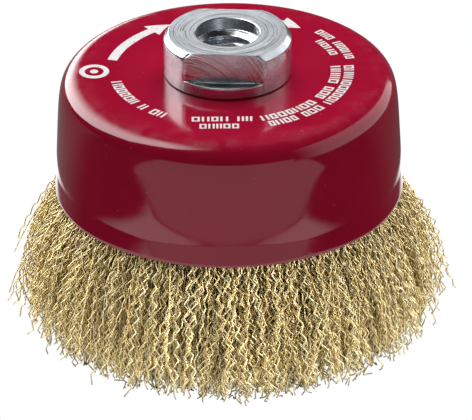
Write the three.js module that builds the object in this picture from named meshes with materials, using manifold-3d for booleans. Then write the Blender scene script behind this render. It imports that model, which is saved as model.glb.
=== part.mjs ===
// Cup brush of crimped wire for an angle grinder, nominal 100 mm, M14 x 2 hub.
// Millimetres. +Z runs up the axis, and the origin is on the axis in the plane of the wire tips.
import * as THREE from 'three';
import { mergeVertices } from 'three/addons/utils/BufferGeometryUtils.js';
import Module from 'manifold-3d';

const wasm = await Module();
wasm.setup();

// Driving dimensions.
const clearance = 0.3;            // gap between pieces that touch on the real brush

const brushRadius = 50;           // ring of wire tips, outside
const tipInnerRadius = 30;        // ring of wire tips, inside
const wireFreeLength = 30;        // wire tips to the rim of the cup
const bundleCount = 36;           // bundles of folded wire round the brush

const cupRadius = 37.1;           // wall under the shoulder
const cupHeight = 28;
const cupSheet = 1.5;             // pressed sheet
const cupShoulder = 5;            // rounding between the flat top and the wall
const cupTaper = 1.1;             // how far the wall widens down to the flare
const cupFlare = 0.7;             // how far the rim turns out
const cupFlareHeight = 5;

const packWidth = 9.2;            // space for the folded wires between the two cups
const ringWireRadius = 2;         // steel ring that the wires are folded over
const foldHeadroom = 0.7;         // from the folded wires up to the cup's top plate

const innerCupSheet = 1.2;
const innerCupRounding = 4;
const innerCupTaper = 0.8;
const lipFlare = 1.2;             // lip that presses the wires outwards
const lipHeight = 4;
const lipRecess = 1;              // from the rim of the cup up to the lip

const nutRadius = 14;
const nutHeight = 9.6;
const nutAcrossFlats = 22;
const nutFlangeHeight = 2.8;      // round flange left under the spanner flats
const nutChamfer = 1;
const nutChamferHeight = 1.4;
const threadRadius = 7;           // M14 x 2
const threadPitch = 2;
const counterboreGap = 0.2;       // counterbore's wall outside the thread
const counterboreDepth = 3;
const shankWall = 3.5;            // shank of the nut, down through both cups
const collarWidth = 2.5;          // shank spread over under the inner cup
const collarHeight = 2;

// Levels up the axis.
const rimZ = wireFreeLength;
const cupTopZ = rimZ + cupHeight;
const cupPlateZ = cupTopZ - cupSheet;
const innerCupTopZ = cupPlateZ - clearance;
const innerCupPlateZ = innerCupTopZ - innerCupSheet;
const lipZ = rimZ + lipRecess;
const collarTopZ = innerCupPlateZ - clearance;
const collarBottomZ = collarTopZ - collarHeight;
const nutBaseZ = cupTopZ + clearance;
const nutTopZ = cupTopZ + nutHeight;

// Radii that follow from the sizes above. The minor diameter of an ISO thread is
// 1.0825 pitches under its major diameter.
const cupWallRadius = cupRadius + cupTaper;
const cupRimRadius = cupWallRadius + cupFlare;
const innerCupRadius = cupRadius - cupSheet - packWidth;
const innerCupWallRadius = innerCupRadius + innerCupTaper;
const lipRadius = innerCupWallRadius + lipFlare;
const threadMinorRadius = threadRadius - (1.0825 * threadPitch) / 2;
const shankRadius = threadMinorRadius + shankWall;
const plateHoleRadius = shankRadius + clearance;

// A bundle is a flat-sided wedge, so the radius at its mid-width is shorter than the radius
// at its corners by this factor.
const halfSector = Math.PI / bundleCount;
const midWidth = Math.cos(halfSector);
const outerLeg = (radius) => radius - cupSheet - clearance;
const innerLeg = (radius) => (radius + clearance) / midWidth;
const ringRadius = (outerLeg(cupRadius) + innerLeg(innerCupRadius)) / 2;
const foldRadius = (outerLeg(cupRadius) - innerLeg(innerCupRadius)) / 2;
const ringZ = cupPlateZ - foldHeadroom - foldRadius;

const roundSegments = 2 * bundleCount;
const ringSideCount = 10;

const at = (r, z) => new THREE.Vector2(r, z);

// Points of an arc round (r, z) from one angle to another, in degrees, anticlockwise positive.
function arc(r, z, radius, from, to, steps) {
  const points = [];
  for (let i = 0; i <= steps; i += 1) {
    const angle = THREE.MathUtils.degToRad(from + ((to - from) * i) / steps);
    points.push(at(r + radius * Math.cos(angle), z + radius * Math.sin(angle)));
  }
  return points;
}

// Turns a closed outline of (radius, height) points, listed anticlockwise, round the Z axis.
function revolve(outline) {
  const geometry = new THREE.LatheGeometry([...outline, outline[0].clone()], roundSegments);
  return geometry.rotateX(Math.PI / 2);
}

// A closed mesh as a solid that can be joined and cut.
function toSolid(geometry) {
  const bare = geometry.clone();
  bare.deleteAttribute('normal');
  bare.deleteAttribute('uv');
  const merged = mergeVertices(bare, 1e-5);
  return new wasm.Manifold(new wasm.Mesh({
    numProp: 3,
    vertProperties: new Float32Array(merged.attributes.position.array),
    triVerts: new Uint32Array(merged.index.array),
  }));
}

function toGeometry(solid) {
  const mesh = solid.getMesh();
  const geometry = new THREE.BufferGeometry();
  geometry.setAttribute('position', new THREE.BufferAttribute(mesh.vertProperties, 3));
  geometry.setIndex(new THREE.BufferAttribute(mesh.triVerts, 1));
  geometry.computeVertexNormals();
  return geometry;
}

function named(name, geometry, color, roughness, metalness) {
  const material = new THREE.MeshStandardMaterial({ color, roughness, metalness });
  const mesh = new THREE.Mesh(geometry, material);
  mesh.name = name;
  return mesh;
}

// Drawn sheet cup with a hole in its flat top. Its wall runs down from a rounded shoulder
// to wallRadius, then turns out to rimRadius over flareHeight.
function drawnCup({ radius, topZ, sheet, shoulder, wallRadius, rimRadius, rimZ, flareHeight }) {
  const arcR = radius - shoulder;
  const arcZ = topZ - shoulder;
  const flareZ = rimZ + flareHeight;
  return revolve([
    at(rimRadius, rimZ),
    at(wallRadius, flareZ),
    ...arc(arcR, arcZ, shoulder, 0, 90, 5),
    at(plateHoleRadius, topZ),
    at(plateHoleRadius, topZ - sheet),
    ...arc(arcR, arcZ, shoulder - sheet, 90, 0, 5),
    at(wallRadius - sheet, flareZ),
    at(rimRadius - sheet, rimZ),
  ]);
}

function outerCup() {
  return drawnCup({
    radius: cupRadius,
    topZ: cupTopZ,
    sheet: cupSheet,
    shoulder: cupShoulder,
    wallRadius: cupWallRadius,
    rimRadius: cupRimRadius,
    rimZ,
    flareHeight: cupFlareHeight,
  });
}

// Smaller cup nested inside, whose lip spreads to clamp the wires.
function innerCup() {
  return drawnCup({
    radius: innerCupRadius,
    topZ: innerCupTopZ,
    sheet: innerCupSheet,
    shoulder: innerCupRounding,
    wallRadius: innerCupWallRadius,
    rimRadius: lipRadius,
    rimZ: lipZ,
    flareHeight: lipHeight,
  });
}

function retainingRing() {
  const section = arc(ringRadius, ringZ, ringWireRadius, 0, 360, ringSideCount);
  return revolve(section.slice(0, -1));
}

// Threaded hub: a turned body with two milled spanner flats, and a shank that passes
// through both cups and is spread into a collar beneath them.
function hubNut() {
  const counterboreRadius = threadRadius + counterboreGap;
  const body = toSolid(revolve([
    at(threadMinorRadius, collarBottomZ),
    at(shankRadius + collarWidth, collarBottomZ),
    at(shankRadius + collarWidth, collarTopZ),
    at(shankRadius, collarTopZ),
    at(shankRadius, nutBaseZ),
    at(nutRadius, nutBaseZ),
    at(nutRadius, nutTopZ - nutChamferHeight),
    at(nutRadius - nutChamfer, nutTopZ),
    at(counterboreRadius, nutTopZ),
    at(counterboreRadius, nutTopZ - counterboreDepth),
    at(threadMinorRadius, nutTopZ - counterboreDepth),
  ]));
  const cutDepth = nutRadius;
  const offset = (nutAcrossFlats + cutDepth) / 2;
  const middleZ = cupTopZ + nutFlangeHeight + nutHeight / 2;
  const cutter = new THREE.BoxGeometry(3 * nutRadius, cutDepth, nutHeight);
  const front = toSolid(cutter.clone().translate(0, -offset, middleZ));
  const back = toSolid(cutter.clone().translate(0, offset, middleZ));
  return toGeometry(body.subtract(front).subtract(back));
}

// One bundle of wires: folded over the ring, down both sides of it, and out to the tips.
// The outline is spread into a wedge whose sides stay half a clearance off the sector's edges.
function wireBundle() {
  const shape = new THREE.Shape([
    at(tipInnerRadius, 0),
    at(brushRadius, 0),
    at(outerLeg(cupRimRadius), rimZ),
    at(outerLeg(cupWallRadius), rimZ + cupFlareHeight),
    ...arc(ringRadius, ringZ, foldRadius, 0, 180, 8),
    at(innerLeg(innerCupWallRadius), lipZ + lipHeight),
    at(innerLeg(lipRadius), lipZ),
  ]);
  const hole = arc(ringRadius, ringZ, ringWireRadius + clearance, 360, 0, ringSideCount);
  shape.holes.push(new THREE.Path(hole.slice(0, -1)));
  const geometry = new THREE.ExtrudeGeometry(shape, { depth: 1, steps: 1, bevelEnabled: false });
  const position = geometry.attributes.position;
  for (let i = 0; i < position.count; i += 1) {
    const x = position.getX(i) * midWidth;
    const z = position.getY(i);
    const halfWidth = x * Math.tan(halfSector) - clearance / 2;
    const y = position.getZ(i) > 0.5 ? -halfWidth : halfWidth;
    position.setXYZ(i, x, y, z);
  }
  geometry.computeVertexNormals();
  return geometry;
}

const brush = new THREE.Group();
brush.add(named('outer_cup', outerCup(), 0x98102f, 0.25, 0));
brush.add(named('inner_cup', innerCup(), 0x8d9096, 0.4, 1));
brush.add(named('retaining_ring', retainingRing(), 0x7f8288, 0.4, 1));
brush.add(named('hub_nut', hubNut(), 0xa3a9b0, 0.3, 1));

for (let i = 0; i < bundleCount; i += 1) {
  const number = String(i + 1).padStart(2, '0');
  const bundle = named(`wire_bundle_${number}`, wireBundle(), 0x9d8b60, 0.35, 1);
  bundle.rotation.z = (2 * i + 1) * halfSector;
  brush.add(bundle);
}

export default brush;
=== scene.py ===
import math
import bpy
import numpy as np
from mathutils import Matrix, Vector


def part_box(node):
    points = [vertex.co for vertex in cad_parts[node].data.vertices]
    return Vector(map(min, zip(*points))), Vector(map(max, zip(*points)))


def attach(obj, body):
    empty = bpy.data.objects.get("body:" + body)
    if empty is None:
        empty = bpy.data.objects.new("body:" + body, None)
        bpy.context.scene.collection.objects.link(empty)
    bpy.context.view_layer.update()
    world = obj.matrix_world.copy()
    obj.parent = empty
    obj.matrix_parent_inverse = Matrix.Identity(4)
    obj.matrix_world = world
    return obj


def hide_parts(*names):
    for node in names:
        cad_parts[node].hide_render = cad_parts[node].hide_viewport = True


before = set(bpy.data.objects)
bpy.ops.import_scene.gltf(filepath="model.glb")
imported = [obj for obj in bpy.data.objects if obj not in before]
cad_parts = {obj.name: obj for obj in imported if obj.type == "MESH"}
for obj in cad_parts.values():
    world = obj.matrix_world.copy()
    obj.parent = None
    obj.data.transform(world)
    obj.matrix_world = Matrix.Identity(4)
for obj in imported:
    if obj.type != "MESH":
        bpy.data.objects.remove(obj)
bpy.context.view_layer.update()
print("frame loaded:", len(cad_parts), "nodes")

mm = 0.001
tau = 2 * math.pi

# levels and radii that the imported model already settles
cupLow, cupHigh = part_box("outer_cup")
nutLow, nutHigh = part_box("hub_nut")
innerLow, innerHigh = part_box("inner_cup")
ringLow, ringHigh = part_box("retaining_ring")
bundleNodes = sorted(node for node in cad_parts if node.startswith("wire_bundle"))


# mesh helpers: every piece is made from arrays of points and faces

# a mesh object from points and arrays of faces; every piece rides on the one body
def makePiece(name, points, faceSets, material, nodes=(), sharpAngle=35, tone=None):
    corners = np.concatenate([faces.ravel() for faces in faceSets])
    sizes = np.concatenate([np.full(len(faces), faces.shape[1]) for faces in faceSets])
    mesh = bpy.data.meshes.new(name)
    mesh.vertices.add(len(points))
    mesh.vertices.foreach_set("co", points.astype(np.float32).ravel())
    mesh.loops.add(len(corners))
    mesh.loops.foreach_set("vertex_index", corners.astype(np.int32))
    mesh.polygons.add(len(sizes))
    mesh.polygons.foreach_set("loop_start", (np.cumsum(sizes) - sizes).astype(np.int32))
    mesh.update(calc_edges=True)
    mesh.shade_smooth()
    if sharpAngle:
        mesh.set_sharp_from_angle(angle=math.radians(sharpAngle))
    if tone is not None:
        layer = mesh.attributes.new("wireTone", "FLOAT", "POINT")
        layer.data.foreach_set("value", tone.astype(np.float32))
    mesh.materials.append(material)
    piece = bpy.data.objects.new(name, mesh)
    bpy.context.scene.collection.objects.link(piece)
    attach(piece, "root")
    if nodes:
        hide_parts(*nodes)
    return piece


# quads of a grid of columns by rows, wrapped round in the directions that are closed;
# the face normal is the column direction crossed with the row direction
def gridFaces(columns, rows, closeColumns=True, closeRows=True):
    c = np.arange(columns if closeColumns else columns - 1)[:, None]
    r = np.arange(rows if closeRows else rows - 1)[None, :]
    nextC = (c + 1) % columns
    nextR = (r + 1) % rows
    corners = [c * rows + r, nextC * rows + r, nextC * rows + nextR, c * rows + nextR]
    return np.stack(corners, -1).reshape(-1, 4)


# points of an arc: centre plus radius times (cos a, sin a), a running between two angles in degrees
def arcPoints(r, z, radius, fromAngle, toAngle, count):
    angle = np.radians(np.linspace(fromAngle, toAngle, count))
    return np.stack([r + radius * np.cos(angle), z + radius * np.sin(angle)], -1)


# straight run between two (r, z) points, without its last point
def runPoints(start, end, count):
    t = np.linspace(0, 1, count, endpoint=False)[:, None]
    return np.array(start) * (1 - t) + np.array(end) * t


# an outline of (r, z) pairs turned round Z: x is r cos a, y is r sin a
def revolve(outline, columns):
    angle = np.arange(columns) / columns * tau
    r = outline[:, 0][None, :]
    z = np.broadcast_to(outline[:, 1][None, :], (columns, len(outline)))
    points = np.stack([r * np.cos(angle)[:, None], r * np.sin(angle)[:, None], z], -1)
    return points.reshape(-1, 3), gridFaces(columns, len(outline))


# shader helpers: every material is wired up from these

# a node group with sockets given as (label, kind, value) and (label, kind)
def newGroup(name, inputs, outputs):
    group = bpy.data.node_groups.new(name, "ShaderNodeTree")
    for label, kind, value in inputs:
        socket = group.interface.new_socket(label, in_out="INPUT", socket_type=kind)
        if value is not None:
            socket.default_value = value
    for label, kind in outputs:
        group.interface.new_socket(label, in_out="OUTPUT", socket_type=kind)
    return group, group.nodes.new("NodeGroupInput"), group.nodes.new("NodeGroupOutput")


# sets a node's values, and links those that are sockets
def setInputs(tree, node, values):
    for key, value in values.items():
        if isinstance(value, bpy.types.NodeSocket):
            tree.links.new(value, node.inputs[key])
        else:
            node.inputs[key].default_value = value


def addNode(tree, kind, values=None, **settings):
    node = tree.nodes.new(kind)
    for key, value in settings.items():
        setattr(node, key, value)
    setInputs(tree, node, values or {})
    return node


def mathNode(tree, operation, first, second=None, third=None):
    values = {i: value for i, value in enumerate((first, second, third)) if value is not None}
    return addNode(tree, "ShaderNodeMath", values, operation=operation).outputs[0]


def product(tree, first, second):
    return mathNode(tree, "MULTIPLY", first, second)


# an S-shaped step between two values, or a straight ramp
def mapRange(tree, value, low, high, toLow=0.0, toHigh=1.0, smooth=True):
    node = addNode(tree, "ShaderNodeMapRange", {"Value": value, "From Min": low, "From Max": high,
                                                "To Min": toLow, "To Max": toHigh})
    node.interpolation_type = "SMOOTHSTEP" if smooth else "LINEAR"
    return node.outputs["Result"]


# first where the factor is 0, second where it is 1
def mixColor(tree, factor, first, second):
    node = addNode(tree, "ShaderNodeMix", data_type="RGBA")
    setInputs(tree, node, {0: factor, 6: first, 7: second})     # the colour sockets
    return node.outputs[2]


def mixValue(tree, factor, first, second):
    return addNode(tree, "ShaderNodeMix", {0: factor, 2: first, 3: second}).outputs[0]


# noise at so many waves per metre
def addNoise(tree, vector, scale, detail, roughness=0.5):
    values = {"Vector": vector, "Scale": scale, "Detail": detail, "Roughness": roughness}
    return addNode(tree, "ShaderNodeTexNoise", values).outputs["Fac"]


# specks: noise cut off near its peaks, so that Amount 0 leaves none
def makeSpecks():
    group, given, out = newGroup(
        "specks",
        [("Vector", "NodeSocketVector", None), ("Scale", "NodeSocketFloat", 900.0),
         ("Amount", "NodeSocketFloat", 0.3)],
        [("Mask", "NodeSocketFloat")])
    noise = addNoise(group, given.outputs["Vector"], given.outputs["Scale"], 2.0, 0.6)
    edge = mathNode(group, "SUBTRACT", 0.86, product(group, given.outputs["Amount"], 0.25))
    mask = mapRange(group, noise, edge, mathNode(group, "ADD", edge, 0.06))
    group.links.new(mask, out.inputs["Mask"])
    return group


# brush marks: noise on coordinates squeezed across the marks, as a height and a mask
def makeToolMarks():
    group, given, out = newGroup(
        "toolMarks",
        [("Vector", "NodeSocketVector", None), ("Stretch", "NodeSocketVector", (1, 1, 1)),
         ("Scale", "NodeSocketFloat", 900.0)],
        [("Height", "NodeSocketFloat"), ("Mask", "NodeSocketFloat")])
    factors = {0: given.outputs["Vector"], 1: given.outputs["Stretch"]}
    squeezed = addNode(group, "ShaderNodeVectorMath", factors, operation="MULTIPLY").outputs[0]
    noise = addNoise(group, squeezed, given.outputs["Scale"], 5.0, 0.7)
    group.links.new(noise, out.inputs["Height"])
    group.links.new(mapRange(group, noise, 0.42, 0.66), out.inputs["Mask"])
    return group


def splitPlace(tree, vector):
    return addNode(tree, "ShaderNodeSeparateXYZ", {0: vector}).outputs


# square root of a a + b b
def distanceOf(tree, a, b):
    return mathNode(tree, "SQRT", mathNode(tree, "ADD", product(tree, a, a), product(tree, b, b)))


# polar coordinates in the object's plane: distance from the axis and angle about it
def makePolar():
    group, given, out = newGroup(
        "polar",
        [("Vector", "NodeSocketVector", None)],
        [("Radius", "NodeSocketFloat"), ("Angle", "NodeSocketFloat"), ("Height", "NodeSocketFloat")])
    parts = splitPlace(group, given.outputs["Vector"])
    group.links.new(distanceOf(group, parts[0], parts[1]), out.inputs["Radius"])
    group.links.new(mathNode(group, "ARCTAN2", parts[1], parts[0]), out.inputs["Angle"])
    group.links.new(parts[2], out.inputs["Height"])
    return group


groups = {"specks": makeSpecks(), "toolMarks": makeToolMarks(), "polar": makePolar()}


def addGroup(tree, name, values):
    return addNode(tree, "ShaderNodeGroup", values, node_tree=groups[name]).outputs


def newMaterial(name):
    material = bpy.data.materials.new(name)
    material.use_nodes = True
    tree = material.node_tree
    shader = tree.nodes["Principled BSDF"]
    place = tree.nodes.new("ShaderNodeTexCoord").outputs["Object"]
    return material, tree, shader, place


def addBump(tree, shader, height, strength, distance, before=None):
    values = {"Height": height, "Strength": strength, "Distance": distance}
    if before is not None:
        values["Normal"] = before
    bump = addNode(tree, "ShaderNodeBump", values).outputs[0]
    tree.links.new(bump, shader.inputs["Normal"])
    return bump


# materials, each with its colours and its roughness in one dictionary

enamelLook = {
    "red": (0.37, 0.0040, 0.031, 1),
    "deepRed": (0.34, 0.0033, 0.027, 1),
    "dust": (0.62, 0.30, 0.31, 1),
    "dustShare": 0.45,
    "scuffShare": 0.02,
    "thinEnamelAndHighlight": (0.46, 0.13, 0.14, 1),     # thin enamel on the cut edge, paler as a painted highlight along the rim
    "edgeHeight": 0.34 * mm,
    "roughness": (0.07, 0.13),
    "hubRoughness": 0.07,      # added towards the hub, from the outer to the inner radius
    "hubReach": (30 * mm, 20 * mm),
    "rubbedRoughness": 0.17,   # added where the shoulder is rubbed
    "shoulderStart": (27 * mm, 33 * mm),
    "shoulderDrop": (2 * mm, 0.2 * mm),
    "peel": 0.05,              # strength of the orange peel
}


# Two reds in slow drifts, dust specks, and a paler cut edge, which is thin enamel and a painted
# highlight along the rim. The shoulder's mask is a step in radius times a step in height; there the gloss is
# rubbed in soft patches.
def makeEnamel():
    look = enamelLook
    material, tree, shader, place = newMaterial("cupEnamel")
    polar = addGroup(tree, "polar", {"Vector": place})
    drift = addNoise(tree, place, 60.0, 3.0)
    color = mixColor(tree, mapRange(tree, drift, 0.35, 0.7), look["red"], look["deepRed"])
    specks = addGroup(tree, "specks", {"Vector": place, "Scale": 1500.0, "Amount": 0.55})["Mask"]
    haze = addGroup(tree, "toolMarks", {"Vector": place, "Stretch": (1.0, 1.0, 0.3), "Scale": 240.0})
    drop = [cupHigh.z - depth for depth in look["shoulderDrop"]]
    nearShoulder = product(tree, mapRange(tree, polar["Radius"], *look["shoulderStart"]),
                           mapRange(tree, polar["Height"], *drop))
    scuff = product(tree, product(tree, haze["Mask"], nearShoulder), look["scuffShare"])
    dusty = mathNode(tree, "MAXIMUM", product(tree, specks, look["dustShare"]), scuff)
    color = mixColor(tree, dusty, color, look["dust"])
    # the cut edge at the rim turns paler: thin enamel there, and a painted highlight along the rim
    edgeTop = cupLow.z + look["edgeHeight"]
    edge = mapRange(tree, polar["Height"], edgeTop, edgeTop - 0.5 * look["edgeHeight"])
    tree.links.new(mixColor(tree, edge, color, look["thinEnamelAndHighlight"]), shader.inputs["Base Color"])
    shader.inputs["IOR"].default_value = 1.52
    rough = mapRange(tree, addNoise(tree, place, 140.0, 4.0), 0.4, 0.75, *look["roughness"])
    rough = mathNode(tree, "MULTIPLY_ADD", dusty, 0.5, rough)
    hubHaze = mapRange(tree, polar["Radius"], *look["hubReach"], 0.0, look["hubRoughness"])
    rough = mathNode(tree, "ADD", rough, hubHaze)
    rubbed = product(tree, nearShoulder, mapRange(tree, haze["Height"], 0.3, 0.65))
    rough = mathNode(tree, "MULTIPLY_ADD", rubbed, look["rubbedRoughness"], rough)
    tree.links.new(mathNode(tree, "MULTIPLY_ADD", edge, 0.3, rough), shader.inputs["Roughness"])
    addBump(tree, shader, addNoise(tree, place, 700.0, 1.0), look["peel"], 0.1 * mm)
    return material


# height of fine lines: noise that changes fast along one coordinate and slowly along the other
def marksAlong(tree, fast, slow):
    line = addNode(tree, "ShaderNodeCombineXYZ", {0: fast, 1: slow, 2: 0.0}).outputs[0]
    return addNoise(tree, line, 1.0, 3.0, 0.6)


# Turned rings on the end face, from noise along the radius with a slight wobble, and milled
# arcs on the flats, from noise along the distance to a point beside the nut. Both are bumps laid
# over that of the plain plating, whose colour and roughness come back with the marks in them.
def addMachining(tree, shader, place, polar, drift, plain, cutting):
    color, rough, normal = plain
    groove = cutting["groove"]
    wobble = product(tree, mathNode(tree, "SUBTRACT", drift, 0.5), cutting["wobble"])
    turns = mathNode(tree, "DIVIDE", mathNode(tree, "ADD", polar["Radius"], wobble), cutting["ringPitch"])
    turned = marksAlong(tree, turns, product(tree, polar["Angle"], 0.4))
    onTop = mapRange(tree, polar["Height"], nutHigh.z - 0.08 * mm, nutHigh.z - 0.03 * mm)
    parts = splitPlace(tree, place)
    reach = distanceOf(tree, mathNode(tree, "SUBTRACT", parts[0], cutting["millX"]),
                       mathNode(tree, "SUBTRACT", parts[2], cutting["millZ"]))
    arcs = mathNode(tree, "DIVIDE", reach, cutting["millPitch"])
    milled = marksAlong(tree, arcs, product(tree, parts[0], 60.0))
    fromAxis = mathNode(tree, "ABSOLUTE", parts[1])
    offFlat = mathNode(tree, "ABSOLUTE", mathNode(tree, "SUBTRACT", fromAxis, cutting["flat"]))
    onFlat = mapRange(tree, offFlat, 0.12 * mm, 0.05 * mm)
    lines = mathNode(tree, "ADD", product(tree, turned, onTop), product(tree, milled, onFlat))
    addBump(tree, shader, lines, cutting["depth"], 0.1 * mm, normal)
    scratch = product(tree, mapRange(tree, turned, 0.52, 0.38), product(tree, onTop, 0.8))
    nicks = addGroup(tree, "specks", {"Vector": place, "Scale": 2600.0, "Amount": 0.95})["Mask"]
    dark = mathNode(tree, "MAXIMUM", scratch, product(tree, nicks, product(tree, onTop, 0.5)))
    color = mixColor(tree, dark, color, groove)
    cut = product(tree, mapRange(tree, milled, 0.5, 0.4), product(tree, onFlat, 0.45))
    rough = mathNode(tree, "MULTIPLY_ADD", onTop, cutting["topRough"], rough)
    return mixColor(tree, cut, color, groove), rough


# bright plating that drifts between two tints, with upright grain; cutting adds tool marks
def makeZinc(name, tint, darkTint, roughness, cutting=None):
    material, tree, shader, place = newMaterial(name)
    polar = addGroup(tree, "polar", {"Vector": place})
    drift = addNoise(tree, place, 220.0, 6.0, 0.65)
    grain = addGroup(tree, "toolMarks", {"Vector": place, "Stretch": (1.0, 1.0, 5.0), "Scale": 700.0})
    color = mixColor(tree, mapRange(tree, drift, 0.38, 0.68), tint, darkTint)
    rough = mapRange(tree, drift, 0.3, 0.75, roughness - 0.06, roughness + 0.1)
    shader.inputs["Metallic"].default_value = 1.0
    normal = addBump(tree, shader, grain["Height"], 0.25, 0.05 * mm)
    if cutting:
        color, rough = addMachining(tree, shader, place, polar, drift, (color, rough, normal), cutting)
    tree.links.new(color, shader.inputs["Base Color"])
    tree.links.new(rough, shader.inputs["Roughness"])
    return material


nutCutting = {
    "ringPitch": 0.3 * mm,
    "wobble": 0.1 * mm,
    "millX": -9 * mm,          # the milled arcs' centre
    "millZ": 54 * mm,
    "millPitch": 0.42 * mm,
    "flat": 11 * mm,           # distance of the flats from the axis
    "depth": 0.9,
    "groove": (0.10, 0.11, 0.12, 1),
    "topRough": 0.16,
}

wireLook = {
    "brass": (0.66, 0.51, 0.22, 1),
    "pale": (0.84, 0.71, 0.40, 1),
    "steel": (0.52, 0.46, 0.30, 1),
    "wearAndShade": (0.26, 0.22, 0.12, 1),         # painted shade at the wire tips, darker towards the floor
    "wearAndShadeShare": 0.8,
    "wearAndShadeHeight": (0.5 * mm, 5.5 * mm),
    "rimShade": (0.40, 0.31, 0.15, 1),        # painted shade close under the cup's rim
    "rimShadeShare": 0.5,
    "rimShadeHeight": (21 * mm, 30 * mm),
    "roughness": (0.37, 0.54),
    "metallic": 0.85,
}


# each wire has its own tone between brass and pale brass; steel shows through in stains
def makeWireMaterial():
    look = wireLook
    material, tree, shader, place = newMaterial("wireBrassed")
    tone = addNode(tree, "ShaderNodeAttribute", attribute_name="wireTone").outputs["Fac"]
    color = mixColor(tree, mapRange(tree, tone, 0.1, 0.85), look["brass"], look["pale"])
    color = mixColor(tree, mapRange(tree, tone, 0.85, 1.0, 0.0, 0.5), color, look["steel"])
    stain = addNoise(tree, place, 420.0, 3.0)
    color = mixColor(tree, mapRange(tree, stain, 0.45, 0.8, 0.0, 0.45), color, look["steel"])
    height = splitPlace(tree, place)["Z"]
    # painted shade: the wires turn darker towards the cup's rim, where the cup overhangs them
    rimShade = mapRange(tree, height, *look["rimShadeHeight"], 0.0, look["rimShadeShare"])
    # painted shade: the wires turn darker towards their tips near the floor
    wearAndShade = mapRange(tree, height, *look["wearAndShadeHeight"], look["wearAndShadeShare"], 0.0)
    color = mixColor(tree, wearAndShade, mixColor(tree, rimShade, color, look["rimShade"]), look["wearAndShade"])
    tree.links.new(color, shader.inputs["Base Color"])
    shader.inputs["Metallic"].default_value = look["metallic"]
    tree.links.new(mapRange(tree, stain, 0.3, 0.7, *look["roughness"]), shader.inputs["Roughness"])
    drawn = addGroup(tree, "toolMarks", {"Vector": place, "Stretch": (4.0, 4.0, 0.6), "Scale": 1600.0})
    addBump(tree, shader, drawn["Height"], 0.2, 0.02 * mm)
    return material


printLook = {
    "white": (0.86, 0.84, 0.84, 1),
    "thin": (0.78, 0.72, 0.73, 1),         # where less paint lies
    "wearAndShadeShare": 0.6,
    "roughness": (0.3, 0.45),
}


# white paint that drifts thin, with specks where the red shows through
def makePrintMaterial():
    look = printLook
    material, tree, shader, place = newMaterial("printWhite")
    wearAndShade = addGroup(tree, "specks", {"Vector": place, "Scale": 1800.0, "Amount": 0.9})["Mask"]
    drift = addNoise(tree, place, 500.0, 3.0)
    color = mixColor(tree, mapRange(tree, drift, 0.3, 0.7), look["white"], look["thin"])
    color = mixColor(tree, product(tree, wearAndShade, look["wearAndShadeShare"]), color, enamelLook["red"])
    tree.links.new(color, shader.inputs["Base Color"])
    tree.links.new(mapRange(tree, drift, 0.3, 0.7, *look["roughness"]), shader.inputs["Roughness"])
    return material


enamel = makeEnamel()
nutZinc = makeZinc("nutZinc", (0.65, 0.68, 0.71, 1), (0.49, 0.52, 0.56, 1), 0.22, nutCutting)
innerZinc = makeZinc("innerZinc", (0.50, 0.50, 0.49, 1), (0.38, 0.37, 0.35, 1), 0.34)
ringSteel = makeZinc("ringSteel", (0.42, 0.42, 0.43, 1), (0.30, 0.29, 0.28, 1), 0.38)
wireBrassed = makeWireMaterial()
printWhite = makePrintMaterial()
print("materials made")


# the outer cup, drawn from sheet

cupShape = {
    "sheet": 1.5 * mm,
    "shoulder": 5 * mm,
    "shoulderEnds": 12,        # angle in degrees at which the rounding runs into the wall
    "rimInset": 0.45 * mm,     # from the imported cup's widest radius
    "taper": 0.048,            # slope of the wall's straight part
    "easing": 0.123,           # slope added just under the shoulder, and how fast it dies away
    "easingReach": 2.2 * mm,
    "easingTop": 4.7 * mm,
    "flare": 0.102,            # slope of the flare at the rim
    "flareHeight": 4.7 * mm,
    "upright": (6.0 * mm, 10.0 * mm),   # heights above the rim between which the taper begins
    "bend": 0.14 * mm,         # height over which the wall turns into the flare
    "bendZone": 0.6 * mm,      # rows lie closer within this of the bend
    "edge": 0.35 * mm,         # rounding of the cut edge
    "holeGap": 0.3 * mm,       # between either cup's hole and the shank
    "columns": 288,
}


# Wall radius at each height: the slope, summed up from the rim. The slope is the taper plus
# easing exp(-depth / reach) under the shoulder, none in the upright part, and the flare below it.
def wallTable():
    shape = cupShape
    height = np.linspace(cupLow.z, cupHigh.z, 2801)
    depth = cupHigh.z - shape["easingTop"] - height
    lowStart, highStart = (cupLow.z + level for level in shape["upright"])
    slope = shape["taper"] + shape["easing"] * np.exp(-depth / shape["easingReach"])
    slope = slope * np.clip((height - lowStart) / (highStart - lowStart), 0, 1)
    turn = (height - cupLow.z - shape["flareHeight"]) / shape["bend"]
    slope = slope + shape["flare"] / (1 + np.exp(np.clip(turn, -40, 40)))
    step = height[1] - height[0]
    fall = np.concatenate([[0], np.cumsum((slope[1:] + slope[:-1]) / 2 * step)])
    return height, cupHigh.x - shape["rimInset"] - fall


# radius of the wall at height z, less an inset
def cupWall(z, inset):
    return np.interp(z, *wallTable()) - inset


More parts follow.
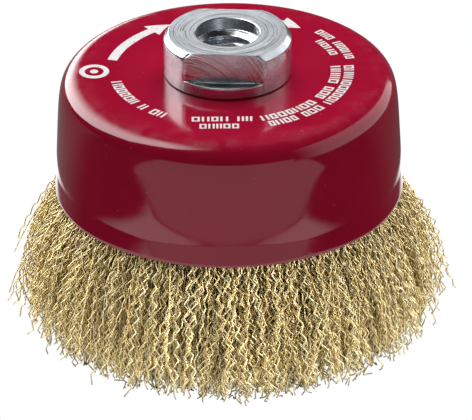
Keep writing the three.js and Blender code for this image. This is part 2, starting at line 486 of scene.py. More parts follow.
# the drawn sheet's outline, from the rim up outside, over the shoulder to the hole and back inside
def makeCup():
    shape = cupShape
    sheet, edge = shape["sheet"], shape["edge"]
    hole = shankRadius + shape["holeGap"]
    ends = math.radians(shape["shoulderEnds"])
    arcZ = cupHigh.z - shape["shoulder"]
    wallTop = arcZ + shape["shoulder"] * math.sin(ends)
    arcR = cupWall(wallTop, 0) - shape["shoulder"] * math.cos(ends)
    low = cupLow.z
    bendLow = low + shape["flareHeight"] - shape["bendZone"]
    bendHigh = low + shape["flareHeight"] + shape["bendZone"]
    up = np.concatenate([np.linspace(low + edge, bendLow, 6, endpoint=False),
                         np.linspace(bendLow, bendHigh, 12, endpoint=False),
                         np.linspace(bendHigh, wallTop, 28, endpoint=False)])
    down = up[:-1][::-1]
    rim = cupWall(np.array([low + edge]), 0)[0]
    outline = np.concatenate([
        arcPoints(rim - edge, low + edge, edge, -90, 0, 5)[:-1],
        np.stack([cupWall(up, 0), up], -1),
        arcPoints(arcR, arcZ, shape["shoulder"], shape["shoulderEnds"], 90, 22),
        runPoints((arcR - 0.5 * mm, cupHigh.z), (hole + edge, cupHigh.z), 20),
        arcPoints(hole + edge, cupHigh.z - edge, edge, 90, 180, 4),
        arcPoints(hole + edge, cupHigh.z - sheet + edge, edge, 180, 270, 4),
        runPoints((hole + 2 * edge, cupHigh.z - sheet), (arcR, cupHigh.z - sheet), 12),
        arcPoints(arcR, arcZ, shape["shoulder"] - sheet, 90, shape["shoulderEnds"], 12),
        np.stack([cupWall(down, sheet), down], -1),
        arcPoints(rim - sheet + edge, low + edge, edge, 180, 270, 5)[1:],
    ])
    points, faces = revolve(outline, shape["columns"])
    return makePiece("cup_shell", points, [faces], enamel, ["outer_cup"])


# the nut with its flange, thread and shank

nutShape = {
    "acrossFlats": 22 * mm,
    "flangeHeight": 2.8 * mm,
    "chamfer": 1.0 * mm,
    "chamferHeight": 1.4 * mm,
    "edge": 0.22 * mm,         # how far the edges are broken
    "seatGap": 0.06 * mm,      # between the flange and the cup
    "flatBlend": 0.12 * mm,    # width over which the round runs into a flat
    "threadRadius": 7.0 * mm,
    "pitch": 2.0 * mm,
    "counterboreRadius": 7.06 * mm,
    "counterboreDepth": 3.0 * mm,
    "mouth": 0.2 * mm,         # bright chamfer at the mouth of the bore
    "shankWall": 3.5 * mm,
    "collarWidth": 2.5 * mm,
    "ledgeBlend": 0.25 * mm,   # cut depth over which the ledge's edge becomes broken
    "roundColumns": 64,
    "flatColumns": 80,
    "rowsPerTurn": 16,
    "threadFade": 0.6 * mm,    # over which the thread runs out
}
threadDepth = 1.0825 * nutShape["pitch"] / 2
threadMinor = nutShape["threadRadius"] - threadDepth
shankRadius = threadMinor + nutShape["shankWall"]


# depth of the internal thread as a share of the whole: a trapezium wave of
# height / pitch - turn, flat at crest and root
def threadWave(turns):
    phase = np.abs((turns % 1) - 0.5) * 2
    return np.clip((phase - 0.14) / 0.72, 0, 1)


# Angles of the columns of one ring: as many on each round side and on each flat whatever the
# ring's radius, so that one column always runs down the corner, at asin(half / radius).
def nutColumns(radius):
    half = nutShape["acrossFlats"] / 2
    corner = math.asin(min(1.0, half / radius))
    side = np.linspace(-corner, corner, nutShape["roundColumns"], endpoint=False)
    flat = np.linspace(corner, math.pi - corner, nutShape["flatColumns"], endpoint=False)
    return np.concatenate([side, flat, side + math.pi, flat + math.pi])


# the lesser of two values, blended over a width: a - width log(1 + exp((a - b) / width))
def softLesser(a, b, width):
    gap = np.clip((b - a) / width, -40, 40)
    return a - width * np.log1p(np.exp(-gap))


# points round the axis at one height, for a radius at each angle
def ringAt(radius, angle, z):
    return np.stack([radius * np.cos(angle), radius * np.sin(angle), np.full_like(angle, z)], -1)


# distance from the axis to the flats at each angle: half / |sin a|
def flatDistance(angle):
    return nutShape["acrossFlats"] / 2 / np.maximum(np.abs(np.sin(angle)), 1e-6)


# Rows from the shank's collar up to the top's edge, as (radius, height, share of the flats' cut).
# The collar is spread over below the inner cup; the ledge is where the flats end on the flange.
def nutOutline(ledge, chamferZ):
    shape = nutShape
    collarR, seat = shankRadius + shape["collarWidth"], cupHigh.z + shape["seatGap"]
    radius, edge, top = nutHigh.x, shape["edge"], nutHigh.z
    collarTop, collarLow = innerHigh.z - innerShape["sheet"] - 0.3 * mm, nutLow.z
    rows = [(threadMinor + 0.9 * mm, collarLow, 0), (collarR - 1.1 * mm, collarLow + 0.05 * mm, 0),
            (collarR - 0.35 * mm, collarLow + 0.35 * mm, 0), (collarR, collarLow + 0.9 * mm, 0),
            (collarR - 0.05 * mm, collarTop - 0.5 * mm, 0), (collarR - 0.4 * mm, collarTop, 0),
            (shankRadius, collarTop, 0), (shankRadius, seat, 0),
            (radius - 2 * edge, seat, 0), (radius - edge, seat + 0.25 * edge, 0), (radius, seat + edge, 0),
            (radius, seat + 2 * edge, 0), (radius, ledge - 2 * edge, 0), (radius, ledge - edge, 0),
            (radius - 0.3 * edge, ledge - 0.3 * edge, 0), (radius - edge, ledge, 0),
            (radius - edge, ledge + 0.005 * mm, 0.5), (radius - edge, ledge + 0.02 * mm, 0.96),
            (radius, ledge + edge, 1)]
    rows += [(radius, z, 1) for z in np.linspace(ledge + 2 * edge, chamferZ - edge, 14)]
    for t in np.linspace(0.03, 0.94, 12):
        rows.append((radius - shape["chamfer"] * t, chamferZ + (top - chamferZ) * t, 1))
    return rows


# The nut is rings of columns, from the collar's underside out, up and over the top, and down the
# bore. A ring that the flats cut has the lesser of its own radius and the flats' distance.
def makeNut():
    shape = nutShape
    top, edge, radius = nutHigh.z, shape["edge"], nutHigh.x
    ledge = cupHigh.z + shape["flangeHeight"]
    chamferZ = top - shape["chamferHeight"]
    base = nutColumns(radius)
    rings = []
    for r, z, cut in nutOutline(ledge, chamferZ):
        angle = nutColumns(r) if z > chamferZ else base
        flat = flatDistance(angle)
        # the ledge's edge is broken under the flats only
        if ledge - edge < z < ledge + edge:
            r = radius - (radius - r) * np.clip((radius - flat) / shape["ledgeBlend"], 0, 1)
        cutRadius = softLesser(np.full_like(angle, r), flat, shape["flatBlend"])
        rings.append(ringAt(r + (cutRadius - r) * cut, angle, z))
    # the top face runs in straight lines from its edge to the mouth of the bore
    topRadius = radius - shape["chamfer"]
    rimAngle = nutColumns(topRadius)
    rim = softLesser(np.full_like(rimAngle, topRadius), flatDistance(rimAngle), shape["flatBlend"])
    mouth = shape["counterboreRadius"] + shape["mouth"]
    for t in np.concatenate([[0.0, 0.015], np.linspace(0.04, 1.0, 24)]):
        rings.append(ringAt(rim * (1 - t) + mouth * t, rimAngle, top - 0.06 * mm * max(0.0, 1 - t / 0.015)))
    # bore: chamfer, counterbore, then the thread
    boreTop = top - shape["counterboreDepth"]
    counter = shape["counterboreRadius"]
    inside = [(counter + 0.05 * mm, top - 0.9 * shape["mouth"])]
    inside += [(counter, z) for z in np.linspace(top - 1.05 * shape["mouth"], boreTop + 0.1 * mm, 8)]
    inside += [(counter - 0.1 * mm, boreTop), (shape["threadRadius"], boreTop - 0.01 * mm)]
    rings += [ringAt(r, rimAngle, z) for r, z in inside]
    threadTop, threadLow = boreTop - 0.03 * mm, nutLow.z + 0.5 * mm
    count = int((threadTop - threadLow) / shape["pitch"] * shape["rowsPerTurn"])
    for z in np.linspace(threadTop, threadLow, count):
        fade = np.clip((z - threadLow) / shape["threadFade"], 0, 1)
        wave = threadWave(z / shape["pitch"] - rimAngle / tau)
        rings.append(ringAt(threadMinor + threadDepth * (wave * fade + 0.35 * (1 - fade)), rimAngle, z))
    points = np.stack(rings, 1)
    faces = gridFaces(*points.shape[:2])
    return makePiece("hub", points.reshape(-1, 3), [faces], nutZinc, ["hub_nut"], 32)


# the inner cup and the ring inside it

innerShape = {
    "sheet": 1.2 * mm,
    "radius": 26.4 * mm,
    "taper": 0.8 * mm,
    "rounding": 4.0 * mm,
    "lipHeight": 4.0 * mm,
    "edge": 0.4 * mm,
    "columns": 180,
}


# the pressed cup's outline, from the lip up outside, over the rounding to the hole and back inside
def makeInnerCup():
    shape = innerShape
    sheet, edge = shape["sheet"], shape["edge"]
    hole = shankRadius + cupShape["holeGap"]
    low, top = innerLow.z, innerHigh.z
    arcR, arcZ = shape["radius"] - shape["rounding"], top - shape["rounding"]
    lip = innerHigh.x
    bend = low + shape["lipHeight"]

    # straight taper, then a lip that turns out with the square of the depth
    def wall(z, inset):
        taper = shape["taper"] * np.clip((arcZ - z) / (arcZ - bend), 0, 1)
        depth = np.clip((bend - z) / shape["lipHeight"], 0, 1)
        return shape["radius"] + taper + (lip - shape["radius"] - shape["taper"]) * depth ** 2 - inset

    up = np.linspace(low + edge, arcZ, 26, endpoint=False)
    outline = np.concatenate([
        arcPoints(lip - edge, low + edge, edge, -90, 0, 4)[:-1],
        np.stack([wall(up, 0), up], -1),
        arcPoints(arcR, arcZ, shape["rounding"], 0, 90, 14),
        runPoints((arcR - 0.5 * mm, top), (hole + edge, top), 8),
        arcPoints(hole + edge, top - edge, edge, 90, 180, 3),
        arcPoints(hole + edge, top - sheet + edge, edge, 180, 270, 3),
        runPoints((hole + 2 * edge, top - sheet), (arcR, top - sheet), 10),
        arcPoints(arcR, arcZ, shape["rounding"] - sheet, 90, 0, 10),
        np.stack([wall(up[::-1], sheet), up[::-1]], -1),
        arcPoints(lip - sheet + edge, low + edge, edge, 180, 270, 4)[1:],
    ])
    points, faces = revolve(outline, shape["columns"])
    return makePiece("clamp_cup", points, [faces], innerZinc, ["inner_cup"])


ringShape = {
    "section": (ringHigh.z - ringLow.z) / 2,
    "height": (ringHigh.z + ringLow.z) / 2,
    "weldSwell": 0.03,
    "weldAt": 1.0,             # angle of the butt weld, and how far round it reaches
    "weldReach": 0.05,
    "columns": 160,
    "sides": 18,
}
ringRadius = ringHigh.x - ringShape["section"]


# a torus whose section swells a little at the butt weld
def makeRing():
    shape = ringShape
    angle = np.arange(shape["columns"])[:, None] / shape["columns"] * tau
    side = np.arange(shape["sides"])[None, :] / shape["sides"] * tau
    weld = np.exp(-((angle - shape["weldAt"]) / shape["weldReach"]) ** 2)
    swell = shape["section"] * (1 + shape["weldSwell"] * weld)
    r = ringRadius + swell * np.cos(side)
    points = np.stack([r * np.cos(angle), r * np.sin(angle), shape["height"] + swell * np.sin(side)], -1)
    points = points.reshape(-1, 3)
    faces = gridFaces(shape["columns"], shape["sides"])
    return makePiece("wire_ring", points, [faces], ringSteel, ["retaining_ring"])


makeCup()
nutCollection = bpy.data.collections.new("nutParts")        # lit by lamps of its own
nutCollection.objects.link(makeNut())
makeInnerCup()
makeRing()
print("metal pieces made")


# the crimped wires

# The spreads of fan, lean, length and turn say how far the bundle, a clump in it and each wire
# differ, as far as they apply. The other spreads are the least and the greatest factor.
wireShape = {
    "folded": 80,              # wires in each bundle, folded double over the ring
    "radius": 0.175 * mm,
    "sides": 3,
    "crimp": 0.93 * mm,        # a quarter of one full crimp
    "crimpSpread": (0.93, 1.07),
    "crimps": 34,              # quarters in a free leg
    "swing": 0.60 * mm,        # how far the crimp leaves the wire's line
    "swingSpread": (0.75, 1.2),
    "swingStart": 2.5 * mm,    # the crimp is held flat by the pack above this depth
    "turnSpread": (0.4, 1.3),  # direction of the crimp about the wire, in radians
    "packInner": 28.75 * mm,   # the pack at the rim
    "packOuter": 36.7 * mm,
    "legShares": (0.47, 0.53), # the inner legs fill the pack up to one share, the outer from the other
    "fan": (0.03, 0.86),       # outward slope at the rim, inside and outside of the pack
    "fanSpread": (0.02, 0.02, 0.13),
    "relax": 92.0,             # how fast the slope dies away, per metre
    "relaxSpread": (0.85, 1.15),
    "leanSpread": (0.03, 0.2), # sideways slope
    "lengthSpread": (0.03, 0.035),
    "clumps": 12,
    "strays": 0.03,            # share of loose wires, five times as many on the outside of the pack
    "strayFan": 0.05,
    "strayRelax": (0.35, 0.8),
    "splayFrom": 42 * mm,      # wires that would end further out than this are shorter
    "splayOver": 7 * mm,
    "splayLoss": 0.12,
    "wander": (0.35 * mm, 0.6 * mm),       # outwards and sideways, at this depth
    "wanderDepth": 20 * mm,
    "wanderWave": (4 * mm, 8 * mm),
    "reach": 50.7 * mm,        # no wire goes further out than this
    "floorGap": 0.25 * mm,
    "foldSteps": 7,
    "seed": 41,
}
packTop = cupHigh.z - cupShape["sheet"] - 0.9 * mm


# Lines of the free legs below the rim, as distances out from the axis, sideways and down. At depth
# d a line has gone out by fan (1 - exp(-relax d)) / relax and sideways by lean d, and it wanders by
# bend sin(path / wave + start) path / wanderDepth.
def legLines(rng, share, clump, shape):
    n, clumps = len(share), shape["clumps"]
    start = shape["packInner"] + share * (shape["packOuter"] - shape["packInner"])
    stray = rng.random(n) < shape["strays"] * (1 + 4 * (share > 0.85))
    fan = shape["fan"][0] + (shape["fan"][1] - shape["fan"][0]) * share ** 1.5
    ofBundle, ofClump, ofWire = shape["fanSpread"]
    spread = 1 + rng.normal(0, ofBundle) + rng.normal(0, ofClump, clumps)[clump] + rng.normal(0, ofWire, n)
    fan = fan * spread + stray * shape["strayFan"]
    lean = rng.normal(0, shape["leanSpread"][0], clumps)[clump] + rng.normal(0, shape["leanSpread"][1], n)
    relax = shape["relax"] * rng.uniform(*shape["relaxSpread"], n)
    relax = relax * np.where(stray, rng.uniform(*shape["strayRelax"], n), 1.0)
    quarter = shape["crimp"] * rng.uniform(*shape["crimpSpread"], n)
    offset = rng.uniform(0, 0.8, n)
    count = np.arange(shape["crimps"] + 1)[None, :]
    path = quarter[:, None] * np.maximum(count - offset[:, None], 0)
    splay = np.clip((start + fan / relax - shape["splayFrom"]) / shape["splayOver"], 0, 1)
    ofClump, ofWire = shape["lengthSpread"]
    length = 1 + rng.normal(0, ofClump, clumps)[clump] + rng.normal(0, ofWire, n)
    path = path * (length - shape["splayLoss"] * splay)[:, None]
    # depth along the sloping line: the slope is steep at first, so the wire drops less there
    slope = np.hypot(fan[:, None] * np.exp(-relax[:, None] * path), lean[:, None])
    drop = 1 / np.sqrt(1 + slope ** 2)
    fallen = np.cumsum(np.diff(path, axis=1) * (drop[:, 1:] + drop[:, :-1]) / 2, 1)
    depth = np.concatenate([np.zeros((n, 1)), fallen], 1)
    radial = start[:, None] + fan[:, None] * (1 - np.exp(-relax[:, None] * depth)) / relax[:, None]
    sideways = lean[:, None] * depth
    for target, size in zip((radial, sideways), shape["wander"]):
        bend = rng.normal(0, size, n)[:, None]
        wave = rng.uniform(*shape["wanderWave"], n)[:, None]
        target += bend * np.sin(path / wave + rng.random(n)[:, None] * tau) * path / shape["wanderDepth"]
    return path, radial, sideways, depth


# The legs with their crimp laid on: points stand at the quarters of a triangle wave of height
# swing, in a plane turned about the wire. Gives distances out, sideways and the height.
def freeLegs(rng, share, clump):
    shape = wireShape
    n = len(share)
    path, radial, sideways, depth = legLines(rng, share, clump, shape)
    ofClump, ofWire = shape["turnSpread"]
    turn = rng.normal(0, ofClump, shape["clumps"])[clump] + rng.uniform(-ofWire, ofWire, n)
    phase = (np.arange(shape["crimps"] + 1)[None, :] + rng.integers(0, 4, n)[:, None]) % 4
    swing = shape["swing"] * rng.uniform(*shape["swingSpread"], n)[:, None]
    wave = np.array([0.0, 1.0, 0.0, -1.0])[phase] * swing * np.clip(path / shape["swingStart"], 0.25, 1)
    radial = np.minimum(radial + wave * np.sin(turn)[:, None], shape["reach"])
    return radial, sideways + wave * np.cos(turn)[:, None], cupLow.z - depth


# the wires of one bundle: outer leg up to the ring, over it in a half circle, inner leg down
def makeBundle(index):
    shape = wireShape
    rng = np.random.default_rng(shape["seed"] + index)
    n = shape["folded"]
    layer = (np.arange(n) + rng.random(n)) / n
    rng.shuffle(layer)
    angle = (index + rng.random(n)) * tau / len(bundleNodes)
    clump = rng.integers(0, shape["clumps"], n)
    innerShare, outerShare = shape["legShares"]
    outR, outS, outZ = freeLegs(rng, outerShare + (1 - outerShare) * layer, clump)
    inR, inS, inZ = freeLegs(rng, innerShare - innerShare * layer, clump)
    section = ringShape["section"]
    overRing = section + 0.25 * mm + layer * (packTop - ringShape["height"] - section - 0.45 * mm)
    turn = np.linspace(0, math.pi, shape["foldSteps"])[None, :]
    foldR = ringRadius + overRing[:, None] * np.cos(turn)
    foldZ = ringShape["height"] + overRing[:, None] * np.sin(turn)
    # one more point halfway between the rim and the fold, on either side
    outMiddle = [(leg[:, :1] + fold[:, :1]) / 2 for leg, fold in ((outR, foldR), (outZ, foldZ))]
    inMiddle = [(leg[:, :1] + fold[:, -1:]) / 2 for leg, fold in ((inR, foldR), (inZ, foldZ))]
    radial = np.concatenate([outR[:, ::-1], outMiddle[0], foldR, inMiddle[0], inR], 1)
    sideways = np.concatenate([outS[:, ::-1], np.zeros((n, shape["foldSteps"] + 2)), inS], 1)
    height = np.concatenate([outZ[:, ::-1], outMiddle[1], foldZ, inMiddle[1], inZ], 1)
    height = np.maximum(height, shape["floorGap"])
    outward = np.stack([np.cos(angle), np.sin(angle)], -1)[:, None, :]
    along = np.stack([-np.sin(angle), np.cos(angle)], -1)[:, None, :]
    flatPlace = radial[..., None] * outward + sideways[..., None] * along
    line = np.concatenate([flatPlace, height[..., None]], -1)
    points, faceSets = sweepWires(line, shape["radius"], shape["sides"])
    tone = np.repeat(rng.random(n), line.shape[1] * shape["sides"])
    node = bundleNodes[index]
    return makePiece("wires_" + node[-2:], points, faceSets, wireBrassed, [node], 0, tone)


# A tube of a few sides along each line of points: each ring stands square to the line, in a
# frame made from the line's direction and a fixed sideways direction of the wire.
def sweepWires(line, radius, sides):
    count, steps = line.shape[:2]
    ahead = np.empty_like(line)
    ahead[:, 1:-1] = line[:, 2:] - line[:, :-2]
    ahead[:, 0] = line[:, 1] - line[:, 0]
    ahead[:, -1] = line[:, -1] - line[:, -2]
    ahead /= np.linalg.norm(ahead, axis=-1, keepdims=True)
    middle = line.mean(1)
    reference = np.stack([-middle[:, 1], middle[:, 0], np.zeros(count)], -1)[:, None, :]
    reference = reference / np.linalg.norm(reference, axis=-1, keepdims=True)
    first = np.cross(ahead, np.broadcast_to(reference, line.shape))
    first /= np.linalg.norm(first, axis=-1, keepdims=True)
    second = np.cross(ahead, first)
    turn = np.arange(sides) / sides * tau
    ring = line[:, :, None, :] + radius * (first[:, :, None, :] * np.cos(turn)[:, None]
                                           + second[:, :, None, :] * np.sin(turn)[:, None])
    points = ring.reshape(-1, 3)
    block = np.arange(count)[:, None, None] * steps * sides
    s = np.arange(steps - 1)[None, :, None]
    k = np.arange(sides)[None, None, :]
    nextK = (k + 1) % sides
    quads = np.stack([block + s * sides + k, block + s * sides + nextK,
                      block + (s + 1) * sides + nextK, block + (s + 1) * sides + k], -1).reshape(-1, 4)
    firstCap = block[:, 0] + np.arange(sides)[None, ::-1]
    lastCap = block[:, 0] + (steps - 1) * sides + np.arange(sides)[None, :]
    return points, [quads, firstCap, lastCap]


wireCollection = bpy.data.collections.new("wires")           # lit by lamps of its own
for bundleIndex in range(len(bundleNodes)):
    wireCollection.objects.link(makeBundle(bundleIndex))
print("wires made")


# the printed marks on top of the cup

# widths along a line are in shares of the usual distance from one mark to the next
printShape = {
    "thickness": 0.03 * mm,
    "gap": 0.01 * mm,
    "markWidth": 0.8,
    "widthSpread": (0.85, 1.1),
    "space": 0.75,             # between words
    "stroke": 0.24,            # upright strokes
    "bar": 0.2,                # flat strokes, as a share of the height
    "frames": 0.6,             # share of marks that are frames
    "seed": 7,
    # curved lines: inner and outer radius, start and end angle in degrees, marks in each word
    "arcLines": [(23.6, 26.0, 241, 195, (2, 1, 6)), (22.5, 24.7, -68, 9, (7, 3, 4)),
                 (25.4, 27.6, -66, 9, (4, 3, 10)), (23.6, 25.4, 40, 22, (4,)),
                 (26.4, 28.4, 48, 16, (3, 5))],
    # straight lines across the front: low and high along Y, left and right along X, marks
    "straightLines": [(-23.6, -21.5, -7.9, 5.1, (4, 2)), (-26.9, -24.8, -6.2, 2.3, (5,))],
    # arrows along the direction of rotation: start and end angles, band's radii, head's angle and half width
    "arrows": ((172, 124), (114, 56)),
    "arrowBand": (24.9, 27.1),
    "arrowHead": (11, 2.7),
    # ring and dot: distance and angle of the centre, and the radii of both
    "dotPlace": (29.3, 184),
    "dotRadii": ((2.1, 3.3), (0.02, 0.9)),
}
cameraAzimuth = 4.6            # the straight lines are square to this direction


# splits a line into marks, in shares of its length: every mark is a frame or a pair of upright
# strokes, given as strokes (left, right, low, high)
def markSpans(words, rng):
    shape = printShape
    stroke, bar = shape["stroke"], shape["bar"]
    marks, place = [], 0.0
    for word in words:
        for _ in range(word):
            width = rng.uniform(*shape["widthSpread"])
            left, right = place, place + width * shape["markWidth"]
            marks += [(left, left + stroke, 0, 1), (right - stroke, right, 0, 1)]
            if rng.random() < shape["frames"]:
                marks += [(left + stroke, right - stroke, low, low + bar) for low in (0, 1 - bar)]
            place += width
        place += shape["space"]
    total = place - shape["space"] - 1 + shape["markWidth"]
    return [(a / total, b / total, c, d) for a, b, c, d in marks]


# a thin closed slab over a grid of flat points: the top, the underside and the walls between
def slab(grid):
    columns, rows = grid.shape[:2]
    low = cupHigh.z + printShape["gap"]
    bottom = np.concatenate([grid, np.full((columns, rows, 1), low)], -1).reshape(-1, 3)
    top = bottom + np.array([0, 0, printShape["thickness"]])
    count = columns * rows
    face = gridFaces(columns, rows, False, False)
    edge = np.concatenate([np.arange(columns) * rows, (columns - 1) * rows + np.arange(1, rows),
                           np.arange(columns - 2, -1, -1) * rows + rows - 1, np.arange(rows - 2, 0, -1)])
    nextEdge = np.roll(edge, -1)
    walls = np.stack([edge, nextEdge, nextEdge + count, edge + count], -1)
    return np.concatenate([bottom, top]), np.concatenate([face[:, ::-1], face + count, walls])


# flat points at radii in mm and angles in radians; with radii down the columns and angles
# running anticlockwise along the rows, a slab's top faces up
def polarGrid(radii, angles):
    r = radii * mm
    return np.stack([r * np.cos(angles), r * np.sin(angles)], -1)


# the lines of marks: curved ones about the hub, straight ones at the front
def lineGrids(rng):
    grids = []
    for inner, outer, start, end, words in printShape["arcLines"]:
        for a, b, c, d in markSpans(words, rng):
            angle = np.sort(np.radians(start + (end - start) * np.linspace(a, b, 3)))
            radii = inner + (outer - inner) * np.array([c, d])
            grids.append(polarGrid(radii[:, None], angle[None, :]))
    turn = math.radians(cameraAzimuth)
    for low, high, left, right, words in printShape["straightLines"]:
        for a, b, c, d in markSpans(words, rng):
            x = (left + (right - left) * np.array([a, b]))[:, None] * mm
            y = (low + (high - low) * np.array([c, d]))[None, :] * mm
            turned = (x * math.cos(turn) - y * math.sin(turn), x * math.sin(turn) + y * math.cos(turn))
            grids.append(np.stack(turned, -1))
    return grids


# an arrow is a band, then a head that narrows to a point; the dot stands in a plain ring
def signGrids():
    shape = printShape
    grids = []
    headAngle, headHalf = shape["arrowHead"]
    for start, end in shape["arrows"]:
        band = np.radians(np.linspace(end + headAngle, start, 24))
        grids.append(polarGrid(np.array(shape["arrowBand"])[:, None], band[None, :]))
        head = np.linspace(0.02, 1, 10)
        reach = np.array([-headHalf, headHalf])[:, None] * head[None, :] + sum(shape["arrowBand"]) / 2
        grids.append(polarGrid(reach, np.radians(end + headAngle * head)[None, :]))
    distance, angle = shape["dotPlace"]
    centre = polarGrid(np.array(distance), np.radians(angle))
    around = np.linspace(0, tau, 41)[None, :]
    return grids + [centre + polarGrid(np.array(radii)[:, None], around) for radii in shape["dotRadii"]]


# every grid of flat points becomes a slab of its own in the one piece
def makePrint():
    points, faces, count = [], [], 0
    for grid in lineGrids(np.random.default_rng(printShape["seed"])) + signGrids():
        slabPoints, slabFaces = slab(grid)
        points.append(slabPoints)
        faces.append(slabFaces + count)
        count += len(slabPoints)
    points, faces = np.concatenate(points), np.concatenate(faces)
    return makePiece("print_marks", points, [faces], printWhite)


makePrint()
print("print made")


# stage, lights and camera

cameraView = {
    "elevation": 28.66,
    "distance": 1.29,
    "lens": 449.6,
    "roll": -0.556,
    "right": -1.76 * mm,       # where the middle of the cup's top sits, right of and above the centre
    "up": 30.43 * mm,
}


# unit vector from the object at an angle round from the camera's side (positive to its right)
# and an elevation, both in degrees
def towards(azimuth, elevation):
    a, e = math.radians(cameraAzimuth + azimuth), math.radians(elevation)
    return Vector((math.sin(a) * math.cos(e), -math.cos(a) * math.cos(e), math.sin(e)))


# looks back along the view's direction, moved so that the object sits off the centre
def makeCamera():
    view = cameraView
    back = towards(0, view["elevation"])
    rotation = back.to_track_quat("Z", "Y").to_matrix() @ Matrix.Rotation(math.radians(view["roll"]), 3, "Z")
    right, up = rotation.col[0], rotation.col[1]
    data = bpy.data.cameras.new("camera")
    data.lens = view["lens"]
    data.clip_end = 20
    camera = bpy.data.objects.new("camera", data)
    target = Vector((0, 0, cupHigh.z))
    camera.matrix_world = Matrix.Translation(target + back * view["distance"] - right * view["right"]
                                             - up * view["up"]) @ rotation.to_4x4()
    bpy.context.scene.collection.objects.link(camera)
    bpy.context.scene.camera = camera


lightBoxes = {
    "height": 0.055,           # the boxes are aimed at this height on the axis
    # directions along the left box's outer and inner edges, round from the camera and up
    "leftOuter": [(-172, -8), (-155, -6), (-120, 7), (-101, 17), (-76, 34), (-51, 56), (-10, 77)],
    "leftInner": [(-177, 6), (-173, 14), (-170, 22), (-162, 34), (-146, 48), (-136, 64), (-110, 86)],
    "leftDistance": 1.1,
    "leftStrength": 6.4,
    "leftSoftness": (0.12, 0.16, 0.06, 0.6),
    # the right sheet stands on the floor: direction of its face, its ends along it, and its height
    "rightTurn": 75,
    "rightDistance": 0.35,
    "rightEnds": (-0.24, 1.05),
    "rightHeight": 0.33,
    "rightStrength": 2.4,
    "rightSoftness": (0.14, 0.04, 0.01, 0.05),
    "rightStart": 0.35,        # its strength at the near end, as a share
}


# an empty material with its output node
def bareMaterial(name):
    material = bpy.data.materials.new(name)
    material.use_nodes = True
    tree = material.node_tree
    tree.nodes.clear()
    return material, tree, tree.nodes.new("ShaderNodeOutputMaterial")


# a glowing card with soft edges, seen in glossy reflections only: strength falls off with the
# distance from each edge of its own UV square (start and end of u, start and end of v)
def glowCard(name, lowEdge, highEdge, strength, softness, startShare=1.0):
    mesh = bpy.data.meshes.new(name)
    count = len(lowEdge)
    first = np.arange(count - 1)
    quads = np.stack([first, first + 1, first + 1 + count, first + count], -1)
    mesh.from_pydata([tuple(corner) for corner in lowEdge + highEdge], [], quads.tolist())
    layer = mesh.uv_layers.new(name="cardPlace")
    layer.data.foreach_set("uv", np.stack([quads % count / (count - 1), quads // count], -1).ravel())
    card = bpy.data.objects.new(name, mesh)
    bpy.context.scene.collection.objects.link(card)
    material, tree, output = bareMaterial(name + "Glow")
    parts = splitPlace(tree, addNode(tree, "ShaderNodeUVMap", uv_map="cardPlace").outputs[0])
    glowing = mapRange(tree, parts[0], 0.0, 1.0, startShare * strength, strength, smooth=False)
    for part, soft, otherSoft in ((parts[0], *softness[:2]), (parts[1], *softness[2:])):
        glowing = product(tree, glowing, mapRange(tree, part, 0.0, soft))
        glowing = product(tree, glowing, mapRange(tree, part, 1.0, 1.0 - otherSoft))
    glow = addNode(tree, "ShaderNodeEmission", {"Strength": glowing})
    tree.links.new(glow.outputs[0], output.inputs["Surface"])
    mesh.materials.append(material)
    card.visible_camera = False
    card.visible_diffuse = False
    card.visible_shadow = False


# the left box between its two edges, and the right sheet that rises straight from the floor
def makeCards():
    boxes = lightBoxes
    middle = Vector((0, 0, boxes["height"]))
    outer, inner = ([middle + towards(*place) * boxes["leftDistance"] for place in boxes[edge]]
                    for edge in ("leftOuter", "leftInner"))
    glowCard("leftBox", outer, inner, boxes["leftStrength"], boxes["leftSoftness"])
    face, along = towards(boxes["rightTurn"], 0), towards(boxes["rightTurn"] + 90, 0)
    foot = [face * boxes["rightDistance"] + along * end for end in boxes["rightEnds"]]
    rise = Vector((0, 0, boxes["rightHeight"]))
    glowCard("rightSheet", foot, [place + rise for place in foot], boxes["rightStrength"],
             boxes["rightSoftness"], boxes["rightStart"])


# azimuth from the camera, elevation, distance, size and power, and what each lamp is kept for
lamps = {
    "overhead": (170, 62, 1.0, 1.0, 12.0, None),
    "wireBoxLeft": (-72, 12, 0.9, 0.26, 3.9, wireCollection),
    "wireBoxRight": (70, 12, 0.9, 0.26, 8.3, wireCollection),
    "nutBox": (178, 58, 0.9, 0.7, 2.9, nutCollection),
    "nutFront": (-20, 68, 0.9, 0.35, 0.35, nutCollection),
}


# a round soft box: on the matt part of every surface, or for one collection alone, which it
# then lights in full
def makeLamp(name, azimuth, elevation, distance, size, power, keptFor):
    data = bpy.data.lights.new(name, "AREA")
    data.shape = "DISK"
    data.size = size
    data.energy = power
    light = bpy.data.objects.new(name, data)
    out = towards(azimuth, elevation)
    rotation = out.to_track_quat("Z", "Y").to_matrix().to_4x4()
    light.matrix_world = Matrix.Translation(out * distance) @ rotation
    light.visible_camera = False
    light.visible_glossy = keptFor is not None
    light.light_linking.receiver_collection = keptFor
    bpy.context.scene.collection.objects.link(light)


floorGlow = {
    "size": 3.0,
    "plate": 1.35,             # the bright plate that the object stands on
    "plateReach": 0.084,       # its back and sides, from the axis
    "plateSpread": 0.12,       # how its sides and its round back widen towards the front
    "backSpread": 0.6,
    "plateLeft": 0.005,        # how far it lies to the left
    "frontEdge": 0.099,        # its front edge on the axis, and how that edge curves
    "frontCurve": 0.7,
    "sheet": 0.69,             # the sheet in front of it
    "sheetReach": 0.07,        # its half width level with the axis, and how that grows ahead
    "sheetSpread": 0.87,
    "sheetStart": (0.055, 0.07),
    "beyond": 0.02,
    "behind": (0.07, 0.17),    # behind the plate, on the right and on the left
    "matt": 0.7,               # what the matt surfaces get from below
}


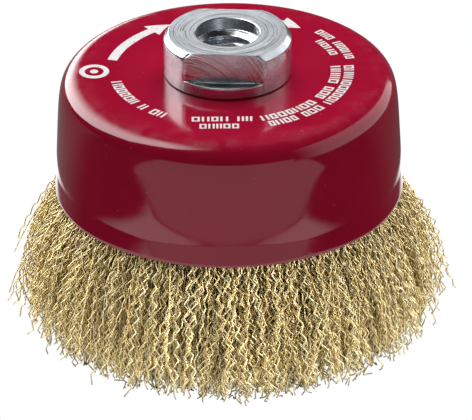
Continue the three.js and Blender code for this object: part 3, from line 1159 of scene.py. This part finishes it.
# What reflections see of the floor, from places to the right of the axis and ahead of it: a
# bright plate, its front edge at frontEdge - frontCurve across^2, a dimmer sheet in front of
# that, a faint glow behind, and the dark.
def floorPattern(tree, place):
    floor = floorGlow
    values = {"Vector": place, "Rotation": (0, 0, -math.radians(cameraAzimuth))}
    turned = addNode(tree, "ShaderNodeMapping", values).outputs[0]
    parts = splitPlace(tree, turned)
    across = mathNode(tree, "ABSOLUTE", parts[0])
    ahead = product(tree, parts[1], -1.0)
    curve = product(tree, across, across)
    frontEdge = mathNode(tree, "MULTIPLY_ADD", curve, -floor["frontCurve"], floor["frontEdge"])
    past = mathNode(tree, "SUBTRACT", ahead, frontEdge)
    sheetSide = mathNode(tree, "MULTIPLY_ADD", ahead, floor["sheetSpread"], floor["sheetReach"])
    sheetSide = mathNode(tree, "SUBTRACT", sheetSide, across)
    sheet = product(tree, mapRange(tree, past, 0.0012, 0.004), mapRange(tree, ahead, *floor["sheetStart"]))
    sheet = product(tree, sheet, mapRange(tree, sheetSide, -0.004, 0.006))
    offAxis = mathNode(tree, "ABSOLUTE", mathNode(tree, "ADD", parts[0], floor["plateLeft"]))
    plateSide = mathNode(tree, "MULTIPLY_ADD", ahead, floor["plateSpread"], floor["plateReach"])
    plate = mapRange(tree, mathNode(tree, "SUBTRACT", plateSide, offAxis), -0.006, 0.010)
    radius = distanceOf(tree, parts[0], parts[1])
    inFront = mathNode(tree, "MAXIMUM", ahead, 0.0)
    backEdge = mathNode(tree, "MULTIPLY_ADD", inFront, floor["backSpread"], floor["plateReach"])
    plate = product(tree, plate, mapRange(tree, mathNode(tree, "SUBTRACT", backEdge, radius), -0.002, 0.002))
    plate = product(tree, plate, mapRange(tree, past, 0.0, -0.0015))
    behind = mapRange(tree, parts[0], 0.0, -0.05, *floor["behind"])
    behind = product(tree, mapRange(tree, ahead, 0.0, -0.06), behind)
    glowing = mathNode(tree, "MULTIPLY_ADD", sheet, floor["sheet"], floor["beyond"])
    glowing = mathNode(tree, "MULTIPLY_ADD", plate, floor["plate"], glowing)
    return mathNode(tree, "ADD", glowing, behind)


# white to the camera, the pattern in reflections, an even glow for matt surfaces, and nothing
# from below
def makeFloor():
    size = floorGlow["size"]
    mesh = bpy.data.meshes.new("floor")
    corners = [(x * size, y * size, 0) for x, y in ((-1, -1), (1, -1), (1, 1), (-1, 1))]
    mesh.from_pydata(corners, [], [(0, 1, 2, 3)])
    floor = bpy.data.objects.new("floor", mesh)
    bpy.context.scene.collection.objects.link(floor)
    material, tree, output = bareMaterial("paleFloor")
    material.cycles.emission_sampling = "NONE"
    path = tree.nodes.new("ShaderNodeLightPath").outputs
    glowing = floorPattern(tree, tree.nodes.new("ShaderNodeTexCoord").outputs["Object"])
    seen = mixValue(tree, path["Is Camera Ray"], floorGlow["matt"], 1.0)
    strength = mixValue(tree, path["Is Glossy Ray"], seen, glowing)
    glow = addNode(tree, "ShaderNodeEmission", {"Strength": strength})
    under = tree.nodes.new("ShaderNodeNewGeometry").outputs["Backfacing"]
    clear = tree.nodes.new("ShaderNodeBsdfTransparent")
    final = addNode(tree, "ShaderNodeMixShader", {0: under, 1: glow.outputs[0], 2: clear.outputs[0]})
    tree.links.new(final.outputs[0], output.inputs["Surface"])
    mesh.materials.append(material)


worldGlow = {"glossy": 0.02, "matt": 0.25}


# white where the camera looks past the object, dark in reflections, and an even pale sky
# for the matt surfaces
def makeWorld():
    world = bpy.data.worlds.new("studio")
    bpy.context.scene.world = world
    world.use_nodes = True
    world.cycles.sampling_method = "NONE"
    tree = world.node_tree
    tree.nodes.clear()
    output = tree.nodes.new("ShaderNodeOutputWorld")
    path = tree.nodes.new("ShaderNodeLightPath").outputs
    seen = mixValue(tree, path["Is Camera Ray"], worldGlow["matt"], 1.0)
    strength = mixValue(tree, path["Is Glossy Ray"], seen, worldGlow["glossy"])
    sky = addNode(tree, "ShaderNodeBackground", {"Strength": strength})
    tree.links.new(sky.outputs[0], output.inputs["Surface"])


makeCamera()
makeFloor()
makeWorld()
makeCards()
for lampName, settings in lamps.items():
    makeLamp(lampName, *settings)
bpy.context.scene.view_settings.view_transform = "Standard"
print("stage made")
